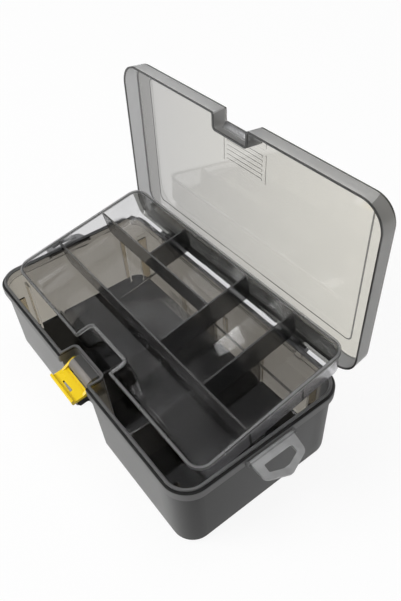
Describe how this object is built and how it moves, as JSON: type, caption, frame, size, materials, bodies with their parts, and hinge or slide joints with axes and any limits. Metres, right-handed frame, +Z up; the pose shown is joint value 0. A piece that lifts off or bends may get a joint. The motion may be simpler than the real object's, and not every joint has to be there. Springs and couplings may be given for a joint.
{
  "type": "tackle box",
  "caption": "Translucent hinged storage box with a divided lift-out tray, loose base dividers, a front snap latch and a strap ring on each end.",
  "frame": {"origin": "on the ground under the middle of the base box, where its bottom face stands", "axes": "X along the length, Y from the latch at the front to the hinges at the back, Z up"},
  "size_m": [0.3124, 0.1763, 0.214],
  "materials": {
    "smoke_plastic": "smoked translucent polypropylene",
    "divider_plastic": "smoked translucent polypropylene",
    "lid_plastic": "smoked clear polystyrene",
    "tray_plastic": "smoked clear polystyrene",
    "latch_plastic": "bright yellow moulded plastic",
    "ring_plastic": "milky grey translucent plastic",
    "pin_steel": "plain steel wire"
  },
  "bodies": {
    "base": {"base_box": "smoke_plastic", "base_divider_left": "divider_plastic", "base_divider_right": "divider_plastic", "hinge_pins": "pin_steel"},
    "lid": {"lid_shell": "lid_plastic"},
    "tray": {"lift_out_tray": "tray_plastic"},
    "latch": {"latch_clip": "latch_plastic", "latch_pin": "pin_steel"},
    "ring_left": {"strap_ring_left": "ring_plastic"},
    "ring_right": {"strap_ring_right": "ring_plastic"}
  },
  "joints": [
    {"name": "lid_hinge", "type": "hinge", "parent": "base", "child": "lid", "pos_m": [0, 0.07455, 0.06857], "axis": [1, 0, 0], "range_deg": [0, 90.8]},
    {"name": "tray_lift", "type": "hinge", "parent": "lid", "child": "tray", "pos_m": [0, 0.07234, 0.08424], "axis": [1, 0, 0], "range_deg": [-101.15, 0]},
    {"name": "latch_pivot", "type": "hinge", "parent": "base", "child": "latch", "pos_m": [0, -0.062, 0.0628], "axis": [1, 0, 0], "range_deg": [-96.3, 0]},
    {"name": "ring_right_swing", "type": "hinge", "parent": "base", "child": "ring_right", "pos_m": [0.1363, 0, 0.067], "axis": [0, 1, 0], "range_deg": [-60, 70]},
    {"name": "ring_left_swing", "type": "hinge", "parent": "base", "child": "ring_left", "pos_m": [-0.1363, 0, 0.067], "axis": [0, -1, 0], "range_deg": [-60, 70]}
  ],
  "couplings": [
    {"joint": "tray_lift", "follows": "lid_hinge", "ratio": -1.1134}
  ]
}
